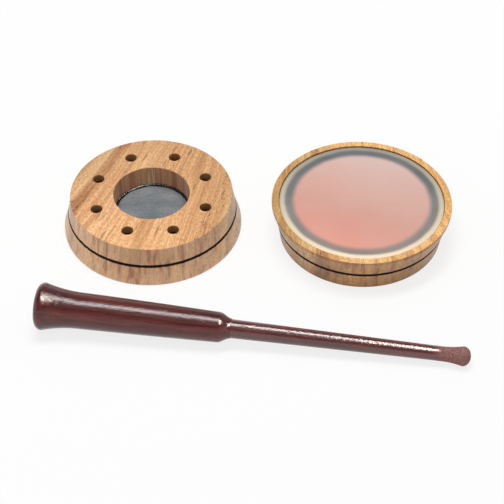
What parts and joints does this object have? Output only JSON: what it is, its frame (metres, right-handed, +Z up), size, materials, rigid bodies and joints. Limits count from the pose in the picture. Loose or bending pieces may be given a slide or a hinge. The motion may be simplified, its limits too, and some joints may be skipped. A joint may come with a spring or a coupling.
{
  "type": "bird call",
  "caption": "Round wooden pot calls with a frosted glass playing surface, sound holes and a slate soundboard, played by drawing a turned hardwood striker over the glass.",
  "frame": {"origin": "on the table under the middle of the whole group, halfway along its length and its depth", "axes": "+X runs from the face-down call towards the face-up call, along the longest extent; +Y runs from the striker towards the calls; +Z is up from the table, the way the glass of the face-up call faces"},
  "size_m": [0.2206, 0.1562, 0.0246],
  "materials": {
    "pot_wood": "light open-grained hardwood, turned and sanded, thin satin lacquer, with a burnt line round the side",
    "frosted_glass": "float glass, sandblasted to an even frost on the playing side",
    "glass_glue": "cream flexible glue, cured",
    "printed_disc": "matte printed disc, orange with a dark grey border",
    "slate": "natural slate, rubbed flat and matte",
    "soundboard_glue": "dark glue with a glossy hollow bead",
    "handle_wood": "dense purplish brown hardwood, turned, glossy lacquer",
    "peg_wood": "dense purplish brown hardwood, glossy lacquer on the shaft, bare and roughened at the tip"
  },
  "bodies": {
    "face_down_call": {"down_call_pot": "pot_wood", "down_call_glass": "frosted_glass", "down_call_glass_glue": "glass_glue", "down_call_print": "printed_disc", "down_call_soundboard": "slate", "down_call_soundboard_glue": "soundboard_glue"},
    "face_up_call": {"up_call_pot": "pot_wood", "up_call_glass": "frosted_glass", "up_call_glass_glue": "glass_glue", "up_call_print": "printed_disc", "up_call_soundboard": "slate", "up_call_soundboard_glue": "soundboard_glue"},
    "striker": {"striker_handle": "handle_wood", "striker_peg": "peg_wood"}
  },
  "joints": [
    {"name": "face_up_call_lift", "type": "slide", "parent": "face_down_call", "child": "face_up_call", "axis": [0, 0, 1], "range_m": [0, 0.1]},
    {"name": "striker_lift", "type": "slide", "parent": "face_down_call", "child": "striker", "axis": [0, 0, 1], "range_m": [0, 0.1]}
  ]
}
